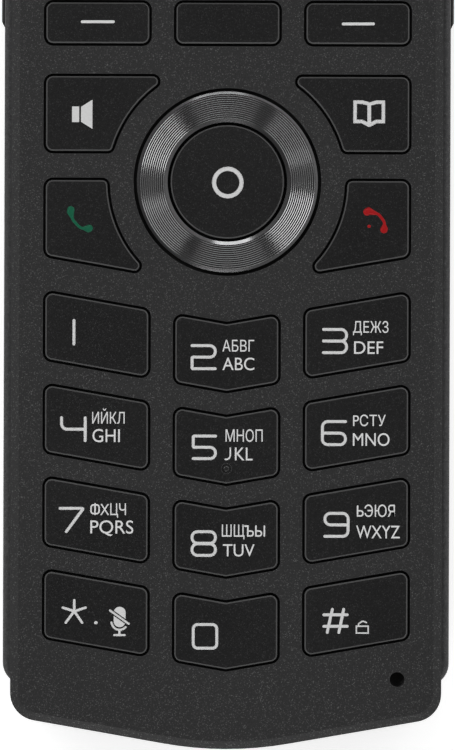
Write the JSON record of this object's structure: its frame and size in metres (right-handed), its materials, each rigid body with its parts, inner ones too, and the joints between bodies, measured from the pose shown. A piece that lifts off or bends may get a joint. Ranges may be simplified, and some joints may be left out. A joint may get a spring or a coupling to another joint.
{
  "type": "clamshell mobile phone",
  "caption": "Folding phone lying open: a keypad half with chevron keys, a four-way ring and a chin of flat V outline, hinged to a lid with a screen.",
  "frame": {"origin": "on the flat back of the keypad half, on its centreline, 54 mm from the tip of the chin", "axes": "+Z out of the keypad, +Y from the chin to the hinge, +X to the right hand when the keys are read"},
  "size_m": [0.055, 0.203, 0.0463],
  "materials": {
    "cover": "fine matt lacquer, dark grey",
    "housing": "grained, dark grey",
    "key": "smooth satin, near black",
    "ring_metal": "spun, dark",
    "steel": "plain",
    "spring_steel": "plain",
    "battery_can": "plain",
    "board": "solder mask",
    "flex": "film",
    "black_plastic": "moulded",
    "rubber": "matt",
    "window": "polished, dark tint",
    "lens": "polished",
    "screen": "dark panel"
  },
  "bodies": {
    "base": {"base_front_cover": "cover", "base_rear_housing": "housing", "battery_cover": "housing", "battery": "battery_can", "keypad_mat": "rubber", "dome_sheet": "spring_steel", "main_board": "board", "microphone": "steel", "microphone_boot": "rubber", "loudspeaker": "black_plastic", "vibration_motor": "steel", "usb_socket": "steel", "antenna": "black_plastic", "sim_reader": "steel", "battery_contacts": "black_plastic", "side_switches": "black_plastic", "base_screws": "steel", "hinge_pivot": "steel", "hinge_sleeve": "steel", "hinge_end_caps": "cover"},
    "lid": {"lid_inner_cover": "cover", "lid_outer_cover": "cover", "display_window": "window", "display_module": "screen", "earpiece_mesh": "ring_metal", "earpiece": "black_plastic", "lid_board": "board", "outer_display": "screen", "outer_window": "window", "camera_ring": "ring_metal", "camera_lens": "lens", "camera_module": "black_plastic", "lid_bumpers": "rubber", "lid_screws": "steel", "hinge_cam": "steel", "hinge_flex": "flex"},
    "soft_key_left": {"soft_key_left": "key"},
    "menu_key": {"menu_key": "key"},
    "soft_key_right": {"soft_key_right": "key"},
    "speaker_key": {"speaker_key": "key"},
    "contacts_key": {"contacts_key": "key"},
    "call_key": {"call_key": "key"},
    "end_key": {"end_key": "key"},
    "key_1": {"key_1": "key"},
    "key_2": {"key_2": "key"},
    "key_3": {"key_3": "key"},
    "key_4": {"key_4": "key"},
    "key_5": {"key_5": "key"},
    "key_6": {"key_6": "key"},
    "key_7": {"key_7": "key"},
    "key_8": {"key_8": "key"},
    "key_9": {"key_9": "key"},
    "key_star": {"key_star": "key"},
    "key_0": {"key_0": "key"},
    "key_hash": {"key_hash": "key"},
    "select_key": {"select_key": "key"},
    "nav_carrier": {"nav_carrier": "black_plastic"},
    "nav_ring": {"nav_ring": "ring_metal"},
    "volume_key": {"volume_key": "key"},
    "camera_key": {"camera_key": "key"}
  },
  "joints": [
    {"name": "lid_hinge", "type": "hinge", "parent": "base", "child": "lid", "pos_m": [0, 0.0496, 0.0113], "axis": [1, 0, 0], "range_deg": [0, 160]},
    {"name": "soft_key_left_press", "type": "slide", "parent": "base", "child": "soft_key_left", "axis": [0, 0, -1], "range_m": [0, 0.0004], "stiffness_N_per_m": 1500, "springref_m": -0.0002},
    {"name": "menu_key_press", "type": "slide", "parent": "base", "child": "menu_key", "axis": [0, 0, -1], "range_m": [0, 0.0004], "stiffness_N_per_m": 1500, "springref_m": -0.0002},
    {"name": "soft_key_right_press", "type": "slide", "parent": "base", "child": "soft_key_right", "axis": [0, 0, -1], "range_m": [0, 0.0004], "stiffness_N_per_m": 1500, "springref_m": -0.0002},
    {"name": "speaker_key_press", "type": "slide", "parent": "base", "child": "speaker_key", "axis": [0, 0, -1], "range_m": [0, 0.0004], "stiffness_N_per_m": 1500, "springref_m": -0.0002},
    {"name": "contacts_key_press", "type": "slide", "parent": "base", "child": "contacts_key", "axis": [0, 0, -1], "range_m": [0, 0.0004], "stiffness_N_per_m": 1500, "springref_m": -0.0002},
    {"name": "call_key_press", "type": "slide", "parent": "base", "child": "call_key", "axis": [0, 0, -1], "range_m": [0, 0.0004], "stiffness_N_per_m": 1500, "springref_m": -0.0002},
    {"name": "end_key_press", "type": "slide", "parent": "base", "child": "end_key", "axis": [0, 0, -1], "range_m": [0, 0.0004], "stiffness_N_per_m": 1500, "springref_m": -0.0002},
    {"name": "key_1_press", "type": "slide", "parent": "base", "child": "key_1", "axis": [0, 0, -1], "range_m": [0, 0.0004], "stiffness_N_per_m": 1500, "springref_m": -0.0002},
    {"name": "key_2_press", "type": "slide", "parent": "base", "child": "key_2", "axis": [0, 0, -1], "range_m": [0, 0.0004], "stiffness_N_per_m": 1500, "springref_m": -0.0002},
    {"name": "key_3_press", "type": "slide", "parent": "base", "child": "key_3", "axis": [0, 0, -1], "range_m": [0, 0.0004], "stiffness_N_per_m": 1500, "springref_m": -0.0002},
    {"name": "key_4_press", "type": "slide", "parent": "base", "child": "key_4", "axis": [0, 0, -1], "range_m": [0, 0.0004], "stiffness_N_per_m": 1500, "springref_m": -0.0002},
    {"name": "key_5_press", "type": "slide", "parent": "base", "child": "key_5", "axis": [0, 0, -1], "range_m": [0, 0.0004], "stiffness_N_per_m": 1500, "springref_m": -0.0002},
    {"name": "key_6_press", "type": "slide", "parent": "base", "child": "key_6", "axis": [0, 0, -1], "range_m": [0, 0.0004], "stiffness_N_per_m": 1500, "springref_m": -0.0002},
    {"name": "key_7_press", "type": "slide", "parent": "base", "child": "key_7", "axis": [0, 0, -1], "range_m": [0, 0.0004], "stiffness_N_per_m": 1500, "springref_m": -0.0002},
    {"name": "key_8_press", "type": "slide", "parent": "base", "child": "key_8", "axis": [0, 0, -1], "range_m": [0, 0.0004], "stiffness_N_per_m": 1500, "springref_m": -0.0002},
    {"name": "key_9_press", "type": "slide", "parent": "base", "child": "key_9", "axis": [0, 0, -1], "range_m": [0, 0.0004], "stiffness_N_per_m": 1500, "springref_m": -0.0002},
    {"name": "key_star_press", "type": "slide", "parent": "base", "child": "key_star", "axis": [0, 0, -1], "range_m": [0, 0.0004], "stiffness_N_per_m": 1500, "springref_m": -0.0002},
    {"name": "key_0_press", "type": "slide", "parent": "base", "child": "key_0", "axis": [0, 0, -1], "range_m": [0, 0.0004], "stiffness_N_per_m": 1500, "springref_m": -0.0002},
    {"name": "key_hash_press", "type": "slide", "parent": "base", "child": "key_hash", "axis": [0, 0, -1], "range_m": [0, 0.0004], "stiffness_N_per_m": 1500, "springref_m": -0.0002},
    {"name": "select_key_press", "type": "slide", "parent": "base", "child": "select_key", "axis": [0, 0, -1], "range_m": [0, 0.0004], "stiffness_N_per_m": 1500, "springref_m": -0.0002},
    {"name": "ring_tilt_left_right", "type": "hinge", "parent": "base", "child": "nav_carrier", "pos_m": [0, 0.0145, 0.0089], "axis": [0, 1, 0], "range_deg": [-1.2, 1.2], "stiffness_Nm_per_rad": 0.3},
    {"name": "ring_tilt_up_down", "type": "hinge", "parent": "nav_carrier", "child": "nav_ring", "pos_m": [0, 0.0145, 0.0089], "axis": [1, 0, 0], "range_deg": [-1.2, 1.2], "stiffness_Nm_per_rad": 0.3},
    {"name": "volume_key_rock", "type": "hinge", "parent": "base", "child": "volume_key", "pos_m": [-0.025, 0.0378, 0.0056], "axis": [0, 0, 1], "range_deg": [-2, 2], "stiffness_Nm_per_rad": 0.3},
    {"name": "camera_key_press", "type": "slide", "parent": "base", "child": "camera_key", "axis": [-1, 0, 0], "range_m": [0, 0.0003], "stiffness_N_per_m": 1500, "springref_m": -0.0002}
  ]
}
